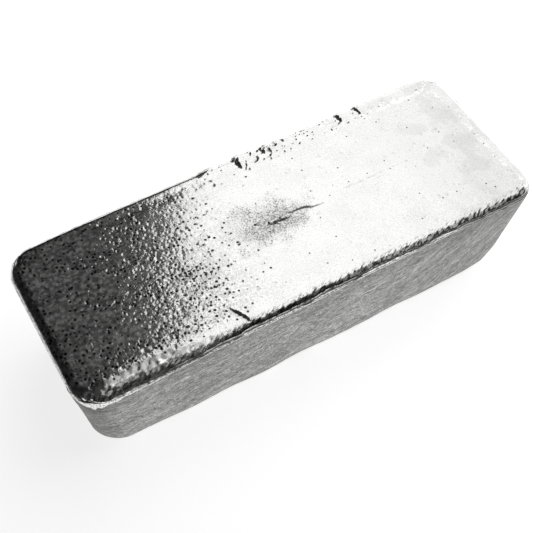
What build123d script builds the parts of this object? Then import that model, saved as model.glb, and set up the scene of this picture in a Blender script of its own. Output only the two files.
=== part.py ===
# Silver bar of the thousand-ounce size: one casting, poured into an open mould and left to freeze.
# X runs along the bar, Y across it and Z up. The origin is the middle of the flat underside.
# Lengths are in millimetres and angles in degrees.

import os

from build123d import *

# Body, shaped by the walls and the floor of the mould
rim_length = 320.0
rim_width = 120.0
rim_height = 80.0
wall_draft = 7.1
corner_radius = 19.0
base_edge_radius = 12.0

# Frozen lip: the first skin of metal on the mould wall, with a groove behind it
lip_width = 1.2
lip_edge_radius = 0.4
groove_width = 1.0
groove_depth = 0.8

# Rolled edge: the rounded shoulder of the pool, which stands above the lip
rolled_edge_height = 4.5
rolled_edge_radius = 4.0

# Shrink hollow: a shallow oval dish where the last of the metal froze
hollow_length = 72.0
hollow_width = 46.0
hollow_depth = 1.2
hollow_center_x = -4.0
hollow_center_y = 6.0

# Shrink crack: an open split along the middle of the bar, which starts in the hollow
crack_length = 44.0
crack_width = 2.6
crack_depth = 2.6
crack_floor_length = 30.0
crack_floor_width = 0.6
crack_center_x = 12.0
crack_center_y = 0.0
crack_angle = -5.0

# Sizes that follow from the ones above
top_height = rim_height + rolled_edge_height
shoulder_inset = lip_width + groove_width
hollow_axis_radius = ((hollow_width / 2) ** 2 - hollow_depth**2) / (2 * hollow_depth)

rim_plane = Plane.XY.offset(rim_height)
hollow_plane = Plane.XZ.offset(-hollow_center_y)
crack_mouth = Plane((crack_center_x, crack_center_y, top_height)).rotated((0, 0, crack_angle))
crack_levels = [
    (0.0, crack_length, crack_width),
    (crack_depth, crack_floor_length, crack_floor_width),
]

with BuildPart() as silver_bar:
    # Block as wide as the lip, with its walls drafted inwards down to the mould's floor
    with BuildSketch():
        Rectangle(rim_length, rim_width)
    extrude(amount=rim_height)
    draft(silver_bar.faces().group_by(Axis.Z)[1], rim_plane, -wall_draft)
    fillet(silver_bar.edges().group_by(Axis.Z)[1], corner_radius)
    fillet(silver_bar.faces().sort_by(Axis.Z)[0].edges(), base_edge_radius)

    # Pool, which rises inside the lip and rolls over at its edge
    with BuildSketch(rim_plane):
        RectangleRounded(
            rim_length - 2 * shoulder_inset,
            rim_width - 2 * shoulder_inset,
            corner_radius - shoulder_inset,
        )
    extrude(amount=rolled_edge_height)
    fillet(silver_bar.faces().sort_by(Axis.Z)[-1].edges(), rolled_edge_radius)

    # Groove between the lip and the pool
    with BuildSketch(rim_plane):
        RectangleRounded(
            rim_length - 2 * lip_width,
            rim_width - 2 * lip_width,
            corner_radius - lip_width,
        )
        RectangleRounded(
            rim_length - 2 * shoulder_inset,
            rim_width - 2 * shoulder_inset,
            corner_radius - shoulder_inset,
            mode=Mode.SUBTRACT,
        )
    extrude(amount=-groove_depth, mode=Mode.SUBTRACT)
    lip_crest = silver_bar.faces().filter_by(Plane.XY).sort_by(Axis.Z)[-2]
    fillet(lip_crest.edges(), lip_edge_radius)

    # Shrink hollow: an arc turned about a line far above the bar, which leaves an oval dish
    with BuildSketch(hollow_plane):
        with BuildLine(Plane.XY):
            hollow_start = (hollow_center_x - hollow_length / 2, top_height)
            hollow_end = (hollow_center_x + hollow_length / 2, top_height)
            ThreePointArc(hollow_start, (hollow_center_x, top_height - hollow_depth), hollow_end)
            Line(hollow_end, hollow_start)
        make_face()
    hollow_axis = Axis((0, hollow_center_y, top_height + hollow_axis_radius), (1, 0, 0))
    revolve(axis=hollow_axis, mode=Mode.SUBTRACT)

    # Shrink crack: a lens of two arcs, narrower and shorter at its floor than at its mouth
    for depth, length, width in crack_levels:
        with BuildSketch(crack_mouth.offset(-depth)):
            with BuildLine():
                ThreePointArc((-length / 2, 0), (0, width / 2), (length / 2, 0))
                ThreePointArc((length / 2, 0), (0, -width / 2), (-length / 2, 0))
            make_face()
    loft(ruled=True, mode=Mode.SUBTRACT)

silver_bar.part.label = "silver_bar"

os.makedirs("parts", exist_ok=True)
export_step(silver_bar.part, "parts/silver_bar.step")
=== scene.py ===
import math
from types import SimpleNamespace

import bpy
import numpy as np
from mathutils import Matrix, Vector


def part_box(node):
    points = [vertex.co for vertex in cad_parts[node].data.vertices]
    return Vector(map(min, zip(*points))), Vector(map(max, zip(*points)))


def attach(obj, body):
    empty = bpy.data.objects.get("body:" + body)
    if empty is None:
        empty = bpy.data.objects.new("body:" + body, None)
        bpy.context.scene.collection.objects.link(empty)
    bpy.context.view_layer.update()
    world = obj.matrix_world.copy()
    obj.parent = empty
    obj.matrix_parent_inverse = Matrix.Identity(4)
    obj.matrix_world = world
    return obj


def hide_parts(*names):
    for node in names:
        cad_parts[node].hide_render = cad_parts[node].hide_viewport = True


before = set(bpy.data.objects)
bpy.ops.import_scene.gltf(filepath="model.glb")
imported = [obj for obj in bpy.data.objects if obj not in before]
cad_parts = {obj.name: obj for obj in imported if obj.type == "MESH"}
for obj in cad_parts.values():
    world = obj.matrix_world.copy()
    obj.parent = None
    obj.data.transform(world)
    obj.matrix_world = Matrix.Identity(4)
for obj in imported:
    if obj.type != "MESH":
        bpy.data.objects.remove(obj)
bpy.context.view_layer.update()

MM = 0.001
WAVE_COUNT = 48
rng = np.random.default_rng(7)

# Body of the bar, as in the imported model
node_low, node_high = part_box("silver_bar")
HALF_LENGTH = (node_high.x - node_low.x) / 2 / MM
HALF_WIDTH = (node_high.y - node_low.y) / 2 / MM
TOP_HEIGHT = node_high.z / MM
ROLLED_EDGE_HEIGHT = 4.5
RIM_HEIGHT = TOP_HEIGHT - ROLLED_EDGE_HEIGHT
WALL_DRAFT = math.radians(7.1)
CORNER_RADIUS = 19.0
BASE_EDGE_RADIUS = 12.0
SPINE = np.array([HALF_LENGTH - CORNER_RADIUS, HALF_WIDTH - CORNER_RADIUS])

# Lip, groove and rolled edge round the top
LIP_WIDTH = 1.2
LIP_EDGE = 0.35
GROOVE_WIDTH = 0.7
GROOVE_DEPTH = 0.8
CAPILLARY_LENGTH = 4.7
BACK_CAPILLARY_LENGTH = 2.4
LIPPED_ROLL = math.radians(55)
FRONT_ROLL = math.radians(60)
PLAIN_ROLL = math.radians(63)
LIP_RISE_FADES_AT = 45.0

# Tilts of a liquid's free edge, from a nearly upright to a nearly level one
MENISCUS_TILTS = np.linspace(math.radians(85), 0.004, 600)

# Flash at the front left corner, which stands up and hangs over the wall
FLASH_PLACE = (-150.0, -57.0)
FLASH_HEIGHT = 2.6
FLASH_SPREAD = 8.0
FLASH_OVERHANG = 6.4
FLASH_OVERHANG_SPREAD = 9.0

# Shrink hollow and shrink crack
HOLLOW_CENTER = (-4.0, 6.0)
HOLLOW_HALF_SIZE = (36.0, 23.0)
HOLLOW_DEPTH = 1.2
HOLLOW_SOFTNESS = 1.6
CRACK_BODY = [(-8.0, 1.3), (-4.0, 0.7), (0.2, 0.6), (4.4, 0.2), (9.4, 0.2)]
CRACK_BRANCH = [
    (6.0, 5.5), (8.5, 3.6), (11.2, 2.2), (14.3, 2.3), (17.1, 2.1),
    (20.8, 1.0), (23.9, -0.8), (27.4, -1.3), (31.7, -1.6),
]
CRACK_HAIRLINE = [(40.0, 2.3), (46.6, 2.0), (61.2, 1.3), (76.4, 1.4), (91.8, 1.0), (99.0, 1.2)]

# Gash at the front edge
GASH = [(-58.0, -41.5), (-54.5, -48.0), (-50.5, -55.0)]
GASH_HALF_WIDTH = 1.7
GASH_DEPTH = 1.3

# Shards of broken skin along the back edge: left, right and front limits, slopes of these faces, height
SHARDS = [
    ((0.4, 13.0, 47.5), (1.1, 0.22, 0.35), 2.0),
    ((12.2, 15.0, 54.0), (1.0, 0.5, 0.6), 1.0),
    ((20.5, 30.0, 52.0), (0.9, 0.25, 0.45), 1.1),
    ((30.6, 34.0, 53.5), (0.5, 0.4, 0.5), 0.45),
    ((36.8, 41.0, 54.5), (0.5, 0.5, 0.5), 0.35),
    ((78.6, 86.0, 50.0), (0.9, 0.3, 0.6), 1.6),
    ((93.0, 99.0, 51.5), (0.9, 0.3, 0.6), 1.3),
    ((-26.0, -12.5, 54.5), (0.13, 0.5, 0.4), 1.2),
]
SHARD_SLANT = 0.28
SHARD_MIDDLE_Y = 53.0

# Creases in the broken skin, with their half widths
CREASES = [
    ([(13.6, 55.8), (14.6, 52.6), (12.6, 50.2), (10.4, 48.6), (8.8, 49.4)], 0.7),
    ([(4.2, 46.2), (5.4, 45.4)], 0.8),
    ([(19.8, 56.0), (23.6, 57.0), (24.4, 54.2), (24.9, 51.2)], 0.9),
    ([(19.6, 49.4), (21.0, 49.0)], 0.8),
    ([(70.5, 54.6), (74.6, 53.6)], 0.5),
]
CREASE_STEEPNESS = 1.3

# Mesh density: spacings of the top's lines, and rings of the wall, with fewer points than the rim
TOP_SPACING = 0.8
EDGE_SPACING = 0.27
EDGE_BAND = 2.6
EDGE_GROWTH = 0.1
CRACK_SPACING = 0.4
CRACK_MIDDLE_Y = 1.0
CRACK_BAND = 4.0
CRACK_GROWTH = 0.15
LINE_SAMPLES = 20001
CORNER_SQUARE = 30.0
WALL_REDUCTION = 3
WALL_RINGS = 34
BASE_EDGE_RINGS = 9

# Silver: roughness of its parts, what frost and grime add to it, and blue beside red and green
SIDE_ROUGHNESS = 0.45
TOP_ROUGHNESS = 0.11
LIP_ROUGHNESS = 0.26
FROST_ROUGHNESS = 0.2
GRIME_ROUGHNESS = 0.25
BLUE_SHARE = 0.985

# Frosted patch of the top, in metres, and how fast it fades along X, Y and Z
FROST_CENTER = (-0.006, 0.002, 0.0845)
FROST_FADING = (27.0, 44.0, 0.0)

# Studio, in metres: panels overhead with their limits across and along the slanted edge, and radiance
OVERHEAD_HEIGHT = 0.70
OVERHEAD_START_X = -0.083
OVERHEAD_EDGE_SLOPE = 0.43
OVERHEAD_PANELS = [
    ("overhead_panel", 0.0, 0.42, 0.10, 1.05, 1.02),
    ("overhead_back", -0.03, 0.0, 0.62, 1.05, 1.0),
    ("overhead_near", 0.15, 0.42, -0.15, 0.10, 1.02),
    ("overhead_middle", 0.09, 0.15, -0.15, 0.10, 0.7),
    ("overhead_corner", 0.0, 0.09, -0.15, 0.10, 0.45),
    ("side_panel", 0.42, 1.3, -0.15, 0.80, 0.92),
    ("side_panel_middle", 0.42, 0.76, 0.80, 0.87, 0.92),
    ("side_panel_back", 0.42, 0.60, 0.87, 0.94, 0.92),
    ("front_panel_near", 0.05, 1.3, -0.20, -0.15, 0.5),
    ("front_panel_far", 0.05, 1.3, -0.28, -0.20, 0.15),
    ("front_panel_left", 0.0, 0.25, -0.45, -0.28, 0.35),
]
BACK_WALL_LEFT = (0.25, 1.00, 0)
BACK_WALL_RIGHT = (1.40, -0.15, 0)
BACK_WALL_HEIGHT = 0.63
BACK_WALL_RADIANCE = 1.0
FLOOR_HALF_SIZE = 30.0
FLOOR_GAP = 0.0001
FLOOR_WHITE = 0.75
FLOOR_GLOW = 0.80

# Camera, fitted to the outline in the photograph: angles in degrees, lengths in millimetres
CAMERA_AZIMUTH = -29.849
CAMERA_ELEVATION = 54.835
CAMERA_TARGET = (-7.945, 0.668, 40.0)
CAMERA_DISTANCE = 654.298
CAMERA_FOCAL_PIXELS = 1001.133
PICTURE_PIXELS = 533
SENSOR_WIDTH = 36.0


def smoothstep(start, end, value):
    """0 before start, 1 after end and a smooth rise between them."""
    t = np.clip((value - start) / (end - start), 0.0, 1.0)
    return t * t * (3.0 - 2.0 * t)


def blend(first, second, share):
    """The first value at share 0, the second at share 1."""
    return first + (second - first) * share


def level_points(x, y):
    """Points at height zero."""
    return np.column_stack([x, y, np.zeros_like(x)])


def waves(points, wavelength, stretch=(1.0, 1.0, 1.0)):
    """Smooth random relief of about unit strength: a sum of seeded plane waves."""
    directions = rng.normal(size=(WAVE_COUNT, 3))
    directions /= np.linalg.norm(directions, axis=1, keepdims=True)
    pitches = 2 * math.pi / (wavelength * rng.uniform(0.7, 1.5, size=(WAVE_COUNT, 1)))
    phases = rng.uniform(0, 2 * math.pi, size=WAVE_COUNT)
    angles = (points / np.array(stretch)) @ (directions * pitches).T + phases
    return np.cos(angles).sum(axis=1) * math.sqrt(2.0 / WAVE_COUNT)


def rim_distance(x, y):
    """How far a point lies inside the outline of the rim."""
    beyond_x = np.abs(x) - SPINE[0]
    beyond_y = np.abs(y) - SPINE[1]
    outside = np.hypot(np.maximum(beyond_x, 0), np.maximum(beyond_y, 0))
    inside = np.minimum(np.maximum(beyond_x, beyond_y), 0)
    return CORNER_RADIUS - outside - inside


def path_distance(x, y, path):
    """Distance to a path of straight runs, and how far along the path the nearest point is, from 0 to 1."""
    corners = np.array(path, float)
    runs = np.linalg.norm(np.diff(corners, axis=0), axis=1)
    starts = np.concatenate([[0.0], np.cumsum(runs)])
    nearest = np.full(x.shape, np.inf)
    along = np.zeros(x.shape)
    for corner, following, start, run in zip(corners[:-1], corners[1:], starts[:-1], runs):
        step = (following - corner) / run
        reach = np.clip((x - corner[0]) * step[0] + (y - corner[1]) * step[1], 0.0, run)
        gap = np.hypot(x - corner[0] - reach * step[0], y - corner[1] - reach * step[1])
        along = np.where(gap < nearest, (start + reach) / starts[-1], along)
        nearest = np.minimum(gap, nearest)
    return nearest, along


def valley(x, y, path, half_width, depth, ragged, blunt=0.02):
    """A V-shaped split along a path, widest in its middle; its ends are closed, or open if blunt."""
    gap, along = path_distance(x, y, path)
    spread = half_width * np.sqrt(np.clip(4 * along * (1 - along), blunt, 1))
    spread = spread * np.clip(1 + ragged * waves(level_points(x, y), 2.5), 0.3, 2.0)
    return -depth * (spread / half_width) * np.clip(1 - gap / spread, 0, 1)


def dish(x, y, center, half_size, depth, softness):
    """A smooth oval bowl with a soft border."""
    u = (x - center[0]) / half_size[0]
    v = (y - center[1]) / half_size[1]
    return -depth * np.clip(1 - u * u - v * v, 0, 1) ** softness


def shard(x, y, limits, slopes, height, ragged):
    """A raised flake of metal with a slanted left face, cut off by a front face."""
    left, right, front = limits
    to_left = slopes[0] * (x - left + SHARD_SLANT * (y - SHARD_MIDDLE_Y) + 0.35 * ragged)
    to_right = slopes[1] * (right - x)
    to_front = slopes[2] * (y - front + 0.5 * ragged)
    return np.clip(np.minimum(np.minimum(to_left, to_right), to_front), 0, height)


def flash(x, y, spread):
    """How near a point is to the middle of the corner flash, from 0 to 1."""
    return np.exp(-((x - FLASH_PLACE[0]) ** 2 + (y - FLASH_PLACE[1]) ** 2) / spread**2)


def pits(x, y, cell, share, radius, depth):
    """Round pits of mixed size, at most one in each square cell."""
    columns = int(2 * HALF_LENGTH / cell) + 4
    rows = int(2 * HALF_WIDTH / cell) + 4
    cells = (columns, rows)
    center_x = (np.arange(columns)[:, None] + rng.uniform(size=cells)) * cell - HALF_LENGTH - cell
    center_y = (np.arange(rows)[None, :] + rng.uniform(size=cells)) * cell - HALF_WIDTH - cell
    radii = rng.uniform(*radius, size=cells)
    depths = rng.uniform(*depth, size=cells) * (rng.uniform(size=cells) < share)
    column = np.floor((x + HALF_LENGTH) / cell).astype(int) + 1
    row = np.floor((y + HALF_WIDTH) / cell).astype(int) + 1
    relief = np.zeros_like(x)
    for i in (-1, 0, 1):
        for j in (-1, 0, 1):
            place = np.clip(column + i, 0, columns - 1), np.clip(row + j, 0, rows - 1)
            reach = ((x - center_x[place]) ** 2 + (y - center_y[place]) ** 2) / radii[place] ** 2
            relief = np.minimum(relief, -depths[place] * np.clip(1 - reach, 0, 1) ** 1.5)
    return relief


def meniscus_drop(reach, steepest, capillary):
    """How far a liquid's free edge lies below its level, at a distance inside its end."""
    place = np.log(1 / np.tan(MENISCUS_TILTS / 4)) - 2 * np.cos(MENISCUS_TILTS / 2)
    start = np.interp(-steepest, -MENISCUS_TILTS, place)
    return capillary * np.interp(reach / capillary + start, place, 2 * np.sin(MENISCUS_TILTS / 2))


def edge_sides(x, y, rim):
    """How far each point belongs to the front, left or back edge, and how plainly its edge is rolled.

    The front edge has a lip and a groove. The other edges are plain, the left one with a narrow lip line.
    """
    beyond_x = np.maximum(np.abs(x) - SPINE[0], 0)
    beyond_y = np.maximum(np.abs(y) - SPINE[1], 0)
    beyond = np.maximum(np.hypot(beyond_x, beyond_y), 1e-6)
    faces_front = smoothstep(0.5, 0.9, np.where(y < 0, beyond_y, 0) / beyond)
    faces_left = smoothstep(0.5, 0.9, np.where(x < 0, beyond_x, 0) / beyond)
    faces_back = smoothstep(0.2, 0.7, np.where(y > 0, beyond_y, 0) / beyond)
    near_edge = 1 - smoothstep(9, 16, rim)
    front = faces_front * near_edge
    left = faces_left * near_edge
    plain = smoothstep(0.4, 0.9, np.maximum(y - SPINE[1], x - SPINE[0]) / CORNER_RADIUS)
    plain = np.maximum(plain, left * (1 - front))
    return SimpleNamespace(
        beyond_x=beyond_x, faces_front=faces_front, front=front, left=left, back=faces_back, plain=plain
    )


def front_capillary_length(x):
    """Capillary length along the front edge, which is also how deep the lip lies below the top there."""
    length = CAPILLARY_LENGTH - 0.8 * smoothstep(-90, -40, x) - 1.9 * smoothstep(-30, 40, x)
    return length + (1.2 * smoothstep(85, 115, x) + 1.1 * smoothstep(-70, -120, x))


def lip_and_groove(x, y, rim, sides, front_capillary):
    """Heights of lip and groove, each point's share of lip, the lip's inner edge and the groove's width."""
    flat = level_points(x, y)
    only_left = sides.left * (1 - sides.front)
    lip_edge = LIP_WIDTH - 0.5 * sides.front * smoothstep(-125, -85, x) + 0.7 * only_left
    lip_edge = np.clip(lip_edge + 0.12 * waves(flat, 14) + 0.15 * waves(flat, 4), 0.5, 2.6)
    level = blend(RIM_HEIGHT, TOP_HEIGHT - front_capillary, sides.front)
    crest = level + 0.15 * waves(flat, 22) + 0.08 * waves(flat, 4)
    bend = np.sqrt(np.maximum((CORNER_RADIUS - 1) ** 2 - sides.beyond_x**2, 0))
    crest += 0.36 * sides.front * (y + SPINE[1] + bend) - 0.15 * only_left * (rim - 1)
    crest += FLASH_HEIGHT * flash(x, y, FLASH_SPREAD)
    groove_width = GROOVE_WIDTH * (1 - 0.5 * sides.front) + 0.25 * waves(flat, 18)
    groove_width = np.clip(groove_width, 0.15, 1.5)
    groove_depth = GROOVE_DEPTH * (1 - 0.8 * sides.front) * (1 - 0.9 * sides.left)
    groove_floor = level - groove_depth + 0.1 * waves(flat, 9)
    on_lip = 1 - smoothstep(lip_edge - 0.1, lip_edge + 0.3, rim)
    return blend(groove_floor, crest, on_lip), on_lip, lip_edge, groove_width


def rolled_pool(x, y, rim, sides, front_capillary, lip, lip_edge, groove_width):
    """Heights of the pool with a meniscus at its edge, and how far each point lies inside that edge."""
    flat = level_points(x, y)
    reach = rim - lip_edge - groove_width + 0.12 * waves(flat, 12) + 0.05 * waves(flat, 3.5)
    capillary = blend(CAPILLARY_LENGTH, front_capillary, sides.front)
    steepest = blend(LIPPED_ROLL, FRONT_ROLL, sides.front)
    pool = TOP_HEIGHT - meniscus_drop(np.maximum(reach, 0), steepest, capillary)
    lipped = np.where(reach > 0, np.maximum(pool, lip), lip)
    plain_reach = rim - LIP_EDGE + 0.1 * waves(flat, 12) * smoothstep(0, 2, rim)
    tightening = sides.back * smoothstep(-200, -95, x)
    plain_capillary = blend(CAPILLARY_LENGTH, BACK_CAPILLARY_LENGTH, tightening)
    rolled = TOP_HEIGHT - meniscus_drop(np.maximum(plain_reach, 0), PLAIN_ROLL, plain_capillary)
    return blend(lipped, rolled, sides.plain), blend(reach, plain_reach, sides.plain)


def pool_skin(x, y, reach, sides):
    """Faint waves with pits in them, the deep pits alone, and how pitted each point is."""
    flat = level_points(x, y)
    pitted = 0.65 + 0.35 * smoothstep(-1.2, 0.0, waves(flat, 24))
    pitted *= 1 - 0.8 * smoothstep(-88, -25, x) - 0.2 * smoothstep(-35, 10, x)
    smooth_patch = np.exp(-(((x + 113) / 16) ** 2) - ((y + 28) / 6) ** 2)
    pitted *= 1 - 0.7 * smooth_patch
    pitted *= smoothstep(0.3 + 5.0 * sides.faces_front, 2.5 + 12.0 * sides.faces_front, reach)
    relief = 0.04 * waves(flat, 75) + 0.008 * waves(flat, 17)
    relief += pitted * pits(x, y, cell=2.9, share=0.9, radius=(1.3, 2.2), depth=(0.03, 0.12))
    deep_pits = pits(x, y, cell=4.2, share=0.13, radius=(0.8, 1.6), depth=(0.10, 0.3))
    return relief + deep_pits, deep_pits, pitted


def broken_skin(x, y):
    """Shards, creases and crumbs along the back edge, and the creases alone."""
    flat = level_points(x, y)
    ragged = waves(flat, 2.4)
    relief = np.zeros_like(x)
    for limits, slopes, rise in SHARDS:
        relief += shard(x, y, limits, slopes, rise, ragged)
    creases = np.zeros_like(x)
    for path, half_width in CREASES:
        creases += valley(x, y, path, half_width, CREASE_STEEPNESS * half_width, ragged=0.25)
    crumbled = smoothstep(44, 50, y) * smoothstep(-4, 2, x) * smoothstep(112, 96, x)
    crumbs = 0.9 * crumbled * np.clip(waves(flat, 2.6) - 0.8, 0, 1)
    return relief + creases - crumbs, creases


def shrink_crack(x, y):
    """The crack in the hollow, its branch and the hairline to the right of it."""
    body = valley(x, y, CRACK_BODY, half_width=1.3, depth=1.0, ragged=0.3)
    branch = valley(x, y, CRACK_BRANCH, half_width=0.8, depth=1.0, ragged=0.15, blunt=0.3)
    hairline = valley(x, y, CRACK_HAIRLINE, half_width=0.5, depth=0.35, ragged=0.4)
    return body + branch + hairline


def top_relief(x, y):
    """Heights of the top of the bar, and the layers that its material reads."""
    rim = rim_distance(x, y)
    sides = edge_sides(x, y, rim)
    front_capillary = front_capillary_length(x)
    lip, on_lip, lip_edge, groove_width = lip_and_groove(x, y, rim, sides, front_capillary)
    height, reach = rolled_pool(x, y, rim, sides, front_capillary, lip, lip_edge, groove_width)

    # Skin of the pool, and ripples on the rolled edge
    skin = smoothstep(0.5, 5.0, reach)
    relief, deep_pits, pitted = pool_skin(x, y, reach, sides)
    height += skin * relief
    roll = smoothstep(0.2, 1.0, reach) * (1 - smoothstep(2.5, 8.0, reach)) * (1 - sides.plain)
    height += 0.035 * roll * waves(level_points(x, y), 3.2)

    # Broken skin along the back edge, the gash at the front edge, and the shrink hollow with its crack
    broken, creases = broken_skin(x, y)
    gash = valley(x, y, GASH, GASH_HALF_WIDTH, GASH_DEPTH, ragged=0.15)
    hollow = dish(x, y, HOLLOW_CENTER, HOLLOW_HALF_SIZE, HOLLOW_DEPTH, HOLLOW_SOFTNESS)
    crack = shrink_crack(x, y)
    height += broken + gash + hollow + crack

    behind_lip = smoothstep(lip_edge, lip_edge + 0.3, rim)
    in_groove = behind_lip * (1 - smoothstep(0.2, 1.2, reach)) * (1 - sides.plain)
    # Darker colour in the groove, crack, deep pits, gash and creases: partly tarnish, partly painted shade
    grime_and_shade = (0.5 + 0.4 * sides.front) * in_groove
    grime_and_shade -= 1.3 * crack + 1.5 * skin * deep_pits + 0.35 * gash + 0.9 * creases
    layers = {
        "grime_and_shade": np.clip(grime_and_shade, 0, 1),
        "lip": on_lip * (1 - sides.plain * (1 - sides.left)),
        "pitted": pitted,
        "top": np.ones_like(x),
        "roll": roll * sides.front,
    }
    return height, layers


def wall_relief(points):
    """How far the side of the bar stands out from its drafted plane."""
    x, y, z = points.T
    flow = np.column_stack([x, y, z - 0.08 * x - 0.006 * np.maximum(x - 40, 0) ** 2])
    relief = 0.22 * waves(points, 70, (1.5, 1.5, 1.0))
    relief += 0.05 * waves(flow, 12, (5.0, 5.0, 1.0))

    # Base edge: uneven, and rounder at the two front corners
    low = 1 - smoothstep(4.0, 26.0, z)
    relief += 0.3 * low * waves(points, 45, (1.0, 1.0, 2.0))
    relief -= 1.9 * low * smoothstep(-10, -130, x) * smoothstep(-30, -48, y)
    relief -= 1.9 * low * smoothstep(105, 145, x) * smoothstep(0, -35, y)
    return relief * smoothstep(0.0, 6.0, z)


def graded_lines(half, spacing_at):
    """Places from -half to half whose gaps follow a spacing, in a number that WALL_REDUCTION divides."""
    places = np.linspace(-half, half, LINE_SAMPLES)
    density = 1 / spacing_at(places)
    count = np.concatenate([[0], np.cumsum((density[1:] + density[:-1]) / 2 * np.diff(places))])
    cells = WALL_REDUCTION * round(count[-1] / WALL_REDUCTION)
    return np.interp(np.linspace(0, count[-1], cells + 1), count, places)


def edge_spacing(gap):
    """Spacing of the lines at a distance from the rim: fine over the lip and the rolled edge."""
    return np.clip(EDGE_SPACING + EDGE_GROWTH * (gap - EDGE_BAND), EDGE_SPACING, TOP_SPACING)


def round_corners(x, y, half_x, half_y, radius):
    """Bends a rectangular grid so that its outline has round corners."""
    p = (np.abs(x) - (half_x - CORNER_SQUARE)) / CORNER_SQUARE
    q = (np.abs(y) - (half_y - CORNER_SQUARE)) / CORNER_SQUARE
    corner = (p > 0) & (q > 0)
    level = np.maximum(np.maximum(p, q), 1e-9)
    share = np.minimum(p, q) / level
    straight = CORNER_SQUARE - radius
    length = share * (straight + radius * math.pi / 4)
    angle = np.maximum(length - straight, 0) / radius
    main = np.where(length < straight, CORNER_SQUARE, straight + radius * np.cos(angle))
    side = np.where(length < straight, length, straight + radius * np.sin(angle))
    bent_p = level * np.where(p >= q, main, side)
    bent_q = level * np.where(p >= q, side, main)
    bent_x = np.sign(x) * (half_x - CORNER_SQUARE + bent_p)
    bent_y = np.sign(y) * (half_y - CORNER_SQUARE + bent_q)
    return np.where(corner, bent_x, x), np.where(corner, bent_y, y)


def top_grid():
    """Places of the top's points, and the number of each point in their grid."""
    half_x, half_y = HALF_LENGTH - LIP_EDGE, HALF_WIDTH - LIP_EDGE

    def spacing_x(place):
        return edge_spacing(half_x - np.abs(place))

    def spacing_y(place):
        from_crack = np.abs(place - CRACK_MIDDLE_Y) - CRACK_BAND
        near_crack = np.clip(CRACK_SPACING + CRACK_GROWTH * from_crack, CRACK_SPACING, TOP_SPACING)
        return np.minimum(edge_spacing(half_y - np.abs(place)), near_crack)

    lines_x, lines_y = graded_lines(half_x, spacing_x), graded_lines(half_y, spacing_y)
    grid_x, grid_y = np.meshgrid(lines_x, lines_y, indexing="ij")
    x, y = round_corners(grid_x.ravel(), grid_y.ravel(), half_x, half_y, CORNER_RADIUS - LIP_EDGE)
    return x, y, np.arange(grid_x.size).reshape(grid_x.shape)


def ring(base, normal, height, inset=0.0):
    """An outline of the drafted body at one or at each point's own height, moved inwards by an inset."""
    height = np.broadcast_to(np.asarray(height, float), len(base))
    narrowing = (RIM_HEIGHT - height)[:, None] * math.tan(WALL_DRAFT)
    outline = base * (SPINE - narrowing) / SPINE + normal * (CORNER_RADIUS - inset)
    return np.column_stack([outline, height])


def base_edge_levels():
    """Heights and insets down the rounded edge between the wall and the underside."""
    turn = np.linspace(WALL_DRAFT, math.pi / 2, BASE_EDGE_RINGS)
    heights = BASE_EDGE_RADIUS * (1 - np.sin(turn))
    foot = (RIM_HEIGHT - BASE_EDGE_RADIUS) * math.tan(WALL_DRAFT) + BASE_EDGE_RADIUS / math.cos(WALL_DRAFT)
    narrowing = foot - BASE_EDGE_RADIUS * np.cos(turn)
    return heights, narrowing - (RIM_HEIGHT - heights) * math.tan(WALL_DRAFT)


def wall_points(base, normal, rise):
    """Points of the wall and the base edge, ring by ring from the top, and the number of rings."""
    lower_heights = np.linspace(RIM_HEIGHT - 2.6, BASE_EDGE_RADIUS + 0.5, WALL_RINGS)
    wall_heights = np.concatenate([[RIM_HEIGHT - 1.2], lower_heights])
    edge_heights, edge_insets = base_edge_levels()
    heights = np.concatenate([wall_heights, edge_heights])
    insets = np.concatenate([np.zeros(len(wall_heights)), edge_insets])
    rings = []
    for height, inset in zip(heights, insets):
        lifted = height + rise * smoothstep(LIP_RISE_FADES_AT, RIM_HEIGHT, height)
        rings.append(ring(base, normal, lifted, inset))
    points = np.concatenate(rings)
    relief = wall_relief(points)
    relief *= smoothstep(RIM_HEIGHT - 0.5, RIM_HEIGHT - 3.0, points[:, 2])
    points[:, :2] += np.tile(normal, (len(rings), 1)) * relief[:, None]
    return points, len(rings)


def grid_faces(index):
    """Faces between the points of a grid."""
    corners = [index[:-1, :-1], index[1:, :-1], index[1:, 1:], index[:-1, 1:]]
    return np.stack(corners, axis=-1).reshape(-1, 4).tolist()


def junction_faces(fine, coarse):
    """Faces between a ring and the ring below it, which has a third of its points."""
    faces = []
    for a in range(len(coarse)):
        b = (a + 1) % len(coarse)
        near = [fine[(WALL_REDUCTION * a + k) % len(fine)] for k in range(WALL_REDUCTION + 1)]
        faces.append((coarse[a], near[1], near[0]))
        faces.append((coarse[a], coarse[b], near[2], near[1]))
        faces.append((coarse[b], near[3], near[2]))
    return faces


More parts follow.
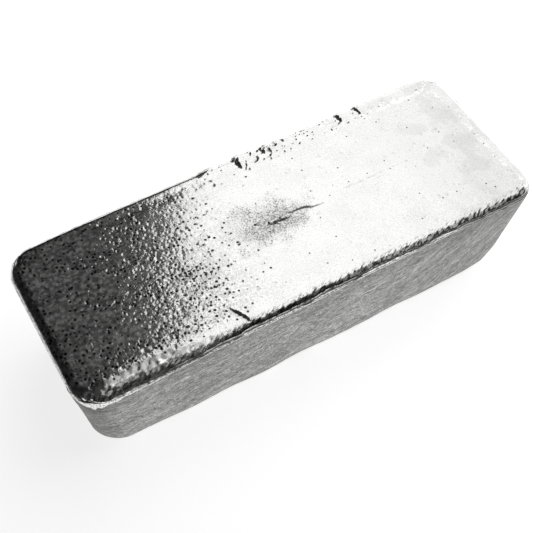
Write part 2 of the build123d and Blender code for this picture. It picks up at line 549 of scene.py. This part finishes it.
def build_bar():
    """The whole bar as one closed mesh."""
    x, y, index = top_grid()
    z, top_layers = top_relief(x, y)
    blocks = [np.column_stack([x, y, z])]
    layers = {name: [values] for name, values in top_layers.items()}
    faces = grid_faces(index)

    def add_points(points, **shares):
        first = sum(map(len, blocks))
        blocks.append(points)
        for name, values in layers.items():
            values.append(np.full(len(points), shares.get(name, 0.0)))
        return first + np.arange(len(points))

    # Outline of the top, anticlockwise, with the outward direction of each of its points
    edge = np.concatenate([index[:-1, 0], index[-1, :-1], index[:0:-1, -1], index[0, :0:-1]])
    outline = blocks[0][edge]
    base = np.clip(outline[:, :2], -SPINE, SPINE)
    normal = outline[:, :2] - base
    normal /= np.linalg.norm(normal, axis=1, keepdims=True)
    rise = outline[:, 2] - RIM_HEIGHT

    # Rounded outer edge of the lip, which hangs over the wall at the left end
    flare = 0.12 * waves(outline, 6)
    overhang = FLASH_OVERHANG * flash(outline[:, 0], outline[:, 1], FLASH_OVERHANG_SPREAD)
    overhang += 0.8 * smoothstep(-95, -125, outline[:, 0]) * (outline[:, 1] < 45)
    overhang *= np.clip(1 + 0.35 * waves(outline, 5), 0.2, 2.0)
    upper = edge
    for drop, inset in ((0.12, 0.1), (LIP_EDGE + overhang, 0.0)):
        points = ring(base, normal, RIM_HEIGHT - drop + rise, inset)
        points[:, :2] += normal * flare[:, None]
        lower = add_points(points, lip=1.0, top=1.0)
        faces += np.column_stack([np.roll(upper, -1), upper, lower, np.roll(lower, -1)]).tolist()
        upper = lower

    # Wall, base edge and underside, with fewer points to each ring
    base, normal = base[::WALL_REDUCTION], normal[::WALL_REDUCTION]
    points, ring_count = wall_points(base, normal, (rise - overhang)[::WALL_REDUCTION])
    rings = add_points(points).reshape(ring_count, -1)
    faces += junction_faces(upper.tolist(), rings[0].tolist())
    for upper, lower in zip(rings[:-1], rings[1:]):
        faces += np.column_stack([upper, lower, np.roll(lower, -1), np.roll(upper, -1)]).tolist()
    faces.append(rings[-1][::-1].tolist())

    mesh = bpy.data.meshes.new("silver_bar_skin")
    mesh.from_pydata((np.concatenate(blocks) * MM).tolist(), [], faces)
    mesh.shade_smooth()
    for name, values in layers.items():
        attribute = mesh.attributes.new(name, "FLOAT", "POINT")
        attribute.data.foreach_set("value", np.concatenate(values).astype(np.float32))
    piece = bpy.data.objects.new("silver_bar_skin", mesh)
    bpy.context.scene.collection.objects.link(piece)
    return piece


def node(tree, kind, inputs=None, **settings):
    """Adds a shader node; an input is a value or another node's socket."""
    made = tree.nodes.new(kind)
    for name, value in settings.items():
        setattr(made, name, value)
    for name, value in (inputs or {}).items():
        if isinstance(value, bpy.types.NodeSocket):
            tree.links.new(value, made.inputs[name])
        else:
            made.inputs[name].default_value = value
    return made


def math_node(tree, operation, a, b=0.0, c=0.0):
    """The result of a calculation with up to three values."""
    return node(tree, "ShaderNodeMath", {0: a, 1: b, 2: c}, operation=operation).outputs[0]


def total(tree, *values):
    """The sum of several values."""
    result = values[0]
    for value in values[1:]:
        result = math_node(tree, "ADD", result, value)
    return result


def product(tree, *values):
    """The product of several values."""
    result = values[0]
    for value in values[1:]:
        result = math_node(tree, "MULTIPLY", result, value)
    return result


def ramp(tree, value, start, end, low=0.0, high=1.0):
    """A smooth rise from low to high while value goes from start to end."""
    inputs = {"Value": value, "From Min": start, "From Max": end, "To Min": low, "To Max": high}
    return node(tree, "ShaderNodeMapRange", inputs, interpolation_type="SMOOTHSTEP").outputs[0]


def mix(tree, share, first, second):
    """The first value at share 0, the second at share 1."""
    return node(tree, "ShaderNodeMix", {"Factor": share, "A": first, "B": second}).outputs[0]


def combine(tree, x, y, z):
    """A vector of three values."""
    return node(tree, "ShaderNodeCombineXYZ", {0: x, 1: y, 2: z}).outputs[0]


def vector_node(tree, operation, a, b, output="Vector"):
    """The result of a calculation with two vectors."""
    return node(tree, "ShaderNodeVectorMath", {0: a, 1: b}, operation=operation).outputs[output]


def noise(tree, place, size, detail=2.0, roughness=0.5):
    """Soft noise whose blobs are about the given size in millimetres."""
    inputs = {"Vector": place, "Scale": 1 / (size * MM), "Detail": detail, "Roughness": roughness}
    return node(tree, "ShaderNodeTexNoise", inputs).outputs["Fac"]


def pit_layer(tree, place, cell, radius, share):
    """Round pits, one to a cell, of which a share is kept: 1 at a pit's floor, 0 between them."""
    lowest = math_node(tree, "SUBTRACT", 1.0, share)
    highest = math_node(tree, "MULTIPLY_ADD", share, -0.6, 1.0)
    cells = node(tree, "ShaderNodeTexVoronoi", {"Vector": place, "Scale": 1 / (cell * MM)})
    chance = node(tree, "ShaderNodeSeparateColor", {0: cells.outputs["Color"]}).outputs[0]
    bowl = ramp(tree, cells.outputs["Distance"], 0.0, radius / cell, 1.0, 0.0)
    return product(tree, bowl, ramp(tree, chance, lowest, highest))


def empty_material(name):
    """A material without nodes, and its node tree."""
    material = bpy.data.materials.new(name)
    material.use_nodes = True
    material.node_tree.nodes.clear()
    return material, material.node_tree


def frosted_patch(tree, place):
    """The frosted patch round the shrink hollow: 1 in its middle, 0 outside it."""
    offset = vector_node(tree, "SUBTRACT", place, FROST_CENTER)
    offset = vector_node(tree, "MULTIPLY", offset, FROST_FADING)
    spread = node(tree, "ShaderNodeVectorMath", {0: offset}, operation="LENGTH").outputs["Value"]
    spread = total(tree, spread, ramp(tree, noise(tree, place, 12.0, 4.0), 0.25, 0.75, -0.3, 0.3))
    return ramp(tree, spread, 1.15, 0.25)


def top_marks(tree, place, axes, pitted):
    """Pits and grain of the top, and the feathers of its front edge."""
    cluster = ramp(tree, noise(tree, place, 11.0, 3.0), 0.36, 0.54)
    clustered = product(tree, pitted, ramp(tree, cluster, 0.0, 1.0, 0.55, 1.0))
    across = total(tree, product(tree, axes["X"], -0.447), product(tree, axes["Y"], 0.894))
    along = total(tree, product(tree, axes["X"], 0.27), product(tree, axes["Y"], 0.135))
    comb = combine(tree, across, along, product(tree, axes["Z"], 0.3))
    return SimpleNamespace(
        cluster=cluster,
        wide_pits=product(tree, pit_layer(tree, place, cell=3.2, radius=1.5, share=0.95), pitted),
        dark_pits=pit_layer(tree, place, cell=2.7, radius=1.4, share=product(tree, clustered, 0.9)),
        fine_pits=product(tree, pit_layer(tree, place, cell=1.6, radius=0.75, share=0.6), pitted),
        dots=pit_layer(tree, place, cell=5.0, radius=0.95, share=0.45),
        feathers=noise(tree, comb, 1.2, 3.0),
        peel=noise(tree, place, 1.4, 2.0),
        grain=noise(tree, place, 0.6, 2.0),
    )


def top_bump(tree, axes, marks, pitted, roll):
    """Fine relief of the top, in metres."""
    feathered = product(
        tree,
        roll,
        ramp(tree, axes["X"], -0.125, -0.05, 0.15, 1.0),
        ramp(tree, axes["X"], 0.0, 0.08, 1.0, 0.6),
    )
    return total(
        tree,
        product(tree, marks.wide_pits, ramp(tree, axes["X"], -0.125, -0.08, 0.6, 1.0), -0.18 * MM),
        product(tree, marks.dark_pits, -0.07 * MM),
        product(tree, marks.fine_pits, -0.03 * MM),
        product(tree, ramp(tree, marks.peel, 0.2, 0.8, 0.0, 0.03 * MM), pitted),
        product(tree, marks.grain, 0.010 * MM),
        product(tree, marks.feathers, feathered, 0.60 * MM),
    )


def painted_edge_reflection(tree, axes, feathers, roll):
    """Painted dark reflection along most of the front edge: a line beside the lip, with strokes across it.
    """
    edge_width = ramp(tree, axes["X"], -0.01, 0.08, 0.0, -0.06)
    strokes = ramp(tree, total(tree, roll, product(tree, feathers, 0.9), edge_width), 1.2, 1.5)
    line = product(tree, ramp(tree, roll, 0.93, 1.0), ramp(tree, axes["X"], -0.03, 0.05, 1.0, 0.62))
    band = math_node(tree, "MAXIMUM", strokes, line)
    return product(tree, band, ramp(tree, axes["X"], -0.09, -0.05))


def top_brightness(tree, place, axes, marks, pitted, roll, frost):
    """Brightness of the top: dark in its pits, partly tarnish and partly painted shade, mottled at both
    ends, speckled in the frosted patch, with a painted dark reflection along the front edge.
    """
    mottle = noise(tree, place, 16.0, 4.0)
    right_mottle = product(tree, ramp(tree, mottle, 0.42, 0.6), ramp(tree, axes["X"], 0.08, 0.12))
    left_mottle = ramp(tree, noise(tree, place, 2.8, 3.0), 0.38, 0.62, 0.32, -0.5)
    left_mottle = product(tree, left_mottle, ramp(tree, axes["X"], -0.085, -0.115))
    peeled = product(tree, ramp(tree, marks.peel, 0.62, 0.38, -0.12, 0.5), pitted)
    # Strokes across the rolled front edge, darkened in colour as painted dark reflection
    strokes = product(tree, ramp(tree, marks.feathers, 0.47, 0.60), roll)
    speckle = total(tree, noise(tree, place, 1.0, 2.0), product(tree, frost, 0.25))
    return product(
        tree,
        ramp(tree, mottle, 0.3, 0.7, 0.88, 0.94),
        ramp(tree, right_mottle, 0.0, 1.0, 1.0, 0.88),
        # Darker in the pits and their clusters: partly tarnish, partly painted shade
        ramp(tree, marks.wide_pits, 0.2, 0.9, 1.0, 0.8),
        ramp(tree, marks.dark_pits, 0.1, 0.5, 1.0, 0.06),
        math_node(tree, "SUBTRACT", 1.0, peeled),
        ramp(tree, marks.fine_pits, 0.1, 0.6, 1.0, 0.3),
        ramp(tree, product(tree, marks.cluster, pitted), 0.0, 1.0, 1.0, 0.78),
        ramp(tree, marks.dots, 0.1, 0.6, 1.0, 0.15),
        math_node(tree, "ADD", left_mottle, 1.0),
        # Painted dark reflection of the rolled front edge
        ramp(tree, painted_edge_reflection(tree, axes, marks.feathers, roll), 0.0, 1.0, 1.0, 0.12),
        ramp(tree, strokes, 0.0, 1.0, 1.0, 0.3),
        ramp(tree, marks.grain, 0.3, 0.7, 0.88, 1.08),
        ramp(tree, speckle, 0.6, 0.9, 1.0, 0.33),
    )


def side_marks(tree, place, axes):
    """Flow marks of the sides, which wander and climb towards the right end, with pits and grain."""
    climb = math_node(tree, "MAXIMUM", math_node(tree, "SUBTRACT", axes["X"], 0.04), 0.0)
    climb = total(tree, product(tree, axes["X"], 0.08), product(tree, climb, climb, 6.0))
    wander = ramp(tree, noise(tree, place, 40.0, 3.0), 0.25, 0.75, -3 * MM, 3 * MM)
    flow_z = total(tree, math_node(tree, "SUBTRACT", axes["Z"], climb), wander)
    flow = combine(tree, axes["X"], axes["Y"], product(tree, flow_z, 5.0))
    # Ripple bands painted as light and shade in the colour alone, at the left end of the wall
    painted_ripple_shading = math_node(tree, "SINE", product(tree, flow_z, 2 * math.pi / (2.6 * MM)))
    painted_ripple_shading = ramp(tree, painted_ripple_shading, -1.0, 1.0, -0.32, 0.15)
    pitted = ramp(tree, axes["X"], -0.12, -0.04, 0.3, 1.0)
    return SimpleNamespace(
        streaks=noise(tree, flow, 5.0, 6.0, 0.75),
        bands=noise(tree, flow, 40.0, 3.0),
        dashes=pit_layer(tree, flow, cell=4.0, radius=1.6, share=0.5),
        pits=product(tree, pit_layer(tree, place, cell=2.6, radius=0.7, share=0.5), pitted),
        painted_ripple_shading=product(tree, painted_ripple_shading, ramp(tree, axes["X"], -0.14, -0.155)),
        grain=noise(tree, place, 1.0, 3.0, 0.6),
    )


def side_bump(tree, marks):
    """Fine relief of the sides, in metres."""
    return total(
        tree,
        ramp(tree, marks.streaks, 0.3, 0.7, 0.0, 0.14 * MM),
        product(tree, marks.dashes, -0.10 * MM),
        product(tree, marks.grain, 0.06 * MM),
    )


def side_brightness(tree, axes, marks):
    """Brightness of the sides: streaked and speckled, with painted shade under the lip and towards both
    ends, and painted ripple shading at the left end.
    """
    painted_shadow_under_lip = ramp(tree, axes["X"], -0.11, -0.06, 0.95, 0.80)
    return product(
        tree,
        ramp(tree, marks.streaks, 0.34, 0.66, 0.14, 0.61),
        ramp(tree, marks.bands, 0.35, 0.65, 0.82, 1.13),
        ramp(tree, marks.dashes, 0.1, 0.7, 1.0, 0.3),
        ramp(tree, marks.pits, 0.1, 0.6, 1.0, 0.25),
        ramp(tree, marks.grain, 0.3, 0.7, 0.52, 1.46),
        # Painted shade towards the left corner and towards the right end of the wall
        ramp(tree, axes["X"], -0.154, -0.134, 0.5, 1.0),
        ramp(tree, axes["X"], 0.0, 0.14, 1.0, 0.85),
        # Painted shadow under the lip, at the top of the wall
        ramp(tree, axes["Z"], 0.050, 0.079, 1.0, painted_shadow_under_lip),
        # Painted ripple shading
        math_node(tree, "ADD", marks.painted_ripple_shading, 1.0),
    )


def lip_brightness(tree, place, axes):
    """Brightness of the lip: speckled, with a painted highlight near the left end, and dull towards the
    right end.
    """
    return product(
        tree,
        ramp(tree, noise(tree, place, 0.9, 2.0), 0.36, 0.58, 0.3, 0.95),
        # Painted highlight near the left end, dimmer at its very tip
        ramp(tree, axes["X"], -0.1585, -0.1550, 0.75, 1.0),
        ramp(tree, axes["X"], -0.140, -0.125, 1.2, 1.0),
        ramp(tree, axes["X"], 0.085, 0.105, 1.0, 0.35),
    )


def silver_material():
    """As-cast silver: a pitted bright top, a rough lip and duller sides with flow marks."""
    material, tree = empty_material("cast_silver")
    place = node(tree, "ShaderNodeTexCoord").outputs["Object"]
    axes = node(tree, "ShaderNodeSeparateXYZ", {0: place}).outputs
    on_top, grime_and_shade, lip, pitted, roll = (
        node(tree, "ShaderNodeAttribute", attribute_name=name).outputs["Fac"]
        for name in ("top", "grime_and_shade", "lip", "pitted", "roll")
    )
    frost = frosted_patch(tree, place)
    top = top_marks(tree, place, axes, pitted)
    side = side_marks(tree, place, axes)

    height = mix(tree, on_top, side_bump(tree, side), top_bump(tree, axes, top, pitted, roll))
    height = total(tree, height, product(tree, lip, noise(tree, place, 1.0, 2.0), 0.10 * MM))
    bump = node(tree, "ShaderNodeBump", {"Strength": 1.0, "Distance": 1.0, "Height": height})

    # Colour: bright on the top, duller on the sides, dark in pits, groove and cracks, partly as tarnish and
    # partly as painted shade
    top_shine = top_brightness(tree, place, axes, top, pitted, roll, frost)
    shine = mix(tree, on_top, side_brightness(tree, axes, side), top_shine)
    shine = mix(tree, lip, shine, lip_brightness(tree, place, axes))
    # Darkened in the groove, crack, deep pits, gash and creases: partly tarnish, partly painted shade
    shine = product(tree, shine, ramp(tree, grime_and_shade, 0.0, 1.0, 1.0, 0.35))
    color = node(tree, "ShaderNodeCombineColor", {0: shine, 1: shine, 2: product(tree, shine, BLUE_SHARE)})

    # Satin top with a frosted patch, matt sides and a rough lip
    roughness = total(
        tree,
        mix(tree, on_top, SIDE_ROUGHNESS, TOP_ROUGHNESS),
        product(tree, frost, FROST_ROUGHNESS),
        product(tree, grime_and_shade, GRIME_ROUGHNESS),
    )
    roughness = mix(tree, lip, roughness, LIP_ROUGHNESS)
    inputs = {
        "Base Color": color.outputs[0],
        "Metallic": 1.0,
        "Roughness": roughness,
        "Normal": bump.outputs[0],
    }
    shader = node(tree, "ShaderNodeBsdfPrincipled", inputs)
    node(tree, "ShaderNodeOutputMaterial", {"Surface": shader.outputs[0]})
    return material


def floor_material():
    """Plain white floor, which still shows the bar's shadow."""
    material, tree = empty_material("white_floor")
    rays = node(tree, "ShaderNodeLightPath").outputs
    seen = math_node(tree, "MAXIMUM", rays["Is Camera Ray"], rays["Is Glossy Ray"])
    seen = math_node(tree, "MAXIMUM", seen, rays["Is Transmission Ray"])
    glow = node(tree, "ShaderNodeEmission", {"Strength": product(tree, seen, FLOOR_GLOW)})
    white = node(tree, "ShaderNodeBsdfDiffuse", {"Color": (FLOOR_WHITE, FLOOR_WHITE, FLOOR_WHITE, 1)})
    both = node(tree, "ShaderNodeAddShader", {0: white.outputs[0], 1: glow.outputs[0]})
    node(tree, "ShaderNodeOutputMaterial", {"Surface": both.outputs[0]})
    return material


def add_floor():
    """A wide floor just under the bar."""
    size = FLOOR_HALF_SIZE
    mesh = bpy.data.meshes.new("floor")
    corners = [(-size, -size, 0), (size, -size, 0), (size, size, 0), (-size, size, 0)]
    mesh.from_pydata(corners, [], [(0, 1, 2, 3)])
    mesh.materials.append(floor_material())
    floor = bpy.data.objects.new("floor", mesh)
    bpy.context.scene.collection.objects.link(floor)
    floor.location.z = -FLOOR_GAP


def add_panel(name, center, across, along, size, radiance):
    """A rectangular soft light that shines along the cross product of its two sides, reversed."""
    across, along = Vector(across).normalized(), Vector(along).normalized()
    turn = Matrix((across, along, across.cross(along))).transposed().to_4x4()
    light = bpy.data.lights.new(name, "AREA")
    light.shape = "RECTANGLE"
    light.size, light.size_y = size
    light.energy = radiance * math.pi * size[0] * size[1]
    panel = bpy.data.objects.new(name, light)
    panel.matrix_world = Matrix.Translation(center) @ turn
    bpy.context.scene.collection.objects.link(panel)


def add_lights():
    """Panels above the bar, whose slanted left edge shows in its top, and a bright wall behind it."""
    edge_turn = math.atan(OVERHEAD_EDGE_SLOPE)
    along = Vector((math.sin(edge_turn), math.cos(edge_turn), 0))
    across = Vector((math.cos(edge_turn), -math.sin(edge_turn), 0))
    start = Vector((OVERHEAD_START_X, 0, OVERHEAD_HEIGHT))
    for name, near, far, front, back, radiance in OVERHEAD_PANELS:
        center = start + across * (near + far) / 2 + along * (front + back) / 2
        add_panel(name, center, across, along, (far - near, back - front), radiance)
    left, right = Vector(BACK_WALL_LEFT), Vector(BACK_WALL_RIGHT)
    middle = (left + right) / 2 + Vector((0, 0, BACK_WALL_HEIGHT / 2))
    size = ((right - left).length, BACK_WALL_HEIGHT)
    add_panel("back_wall_panel", middle, left - right, (0, 0, 1), size, BACK_WALL_RADIANCE)


def add_world():
    """A dark room with a faint glow above the back and another one at the front."""
    world = bpy.data.worlds.new("studio")
    world.use_nodes = True
    tree = world.node_tree
    tree.nodes.clear()
    direction = node(tree, "ShaderNodeTexCoord").outputs["Generated"]

    def glow(middle, outer_angle, inner_angle, low, high):
        facing = vector_node(tree, "DOT_PRODUCT", direction, Vector(middle).normalized(), "Value")
        outer, inner = math.cos(math.radians(outer_angle)), math.cos(math.radians(inner_angle))
        return ramp(tree, facing, outer, inner, low, high)

    back_glow = glow((0.04, 0.545, 0.83), outer_angle=26, inner_angle=6, low=0.024, high=0.112)
    front_glow = glow((0.1, -0.78, 0.62), outer_angle=70, inner_angle=15, low=0.0, high=0.04)
    strength = total(tree, back_glow, front_glow)
    background = node(tree, "ShaderNodeBackground", {"Color": (1, 1, 1, 1), "Strength": strength})
    node(tree, "ShaderNodeOutputWorld", {"Surface": background.outputs[0]})
    bpy.context.scene.world = world


def add_camera():
    """The photograph's viewpoint: above the front left, at a portrait distance."""
    azimuth, elevation = math.radians(CAMERA_AZIMUTH), math.radians(CAMERA_ELEVATION)
    back = Vector((
        math.sin(azimuth) * math.cos(elevation),
        -math.cos(azimuth) * math.cos(elevation),
        math.sin(elevation),
    ))
    data = bpy.data.cameras.new("camera")
    data.sensor_width = SENSOR_WIDTH
    data.lens = SENSOR_WIDTH * CAMERA_FOCAL_PIXELS / PICTURE_PIXELS
    camera = bpy.data.objects.new("camera", data)
    camera.location = Vector(CAMERA_TARGET) * MM + back * (CAMERA_DISTANCE * MM)
    camera.rotation_mode = "QUATERNION"
    camera.rotation_quaternion = (-back).to_track_quat("-Z", "Y")
    bpy.context.scene.collection.objects.link(camera)
    bpy.context.scene.camera = camera


bar = build_bar()
bar.data.materials.append(silver_material())
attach(bar, "root")
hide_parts("silver_bar")

add_floor()
add_lights()
add_world()
add_camera()
bpy.context.scene.view_settings.view_transform = "Standard"
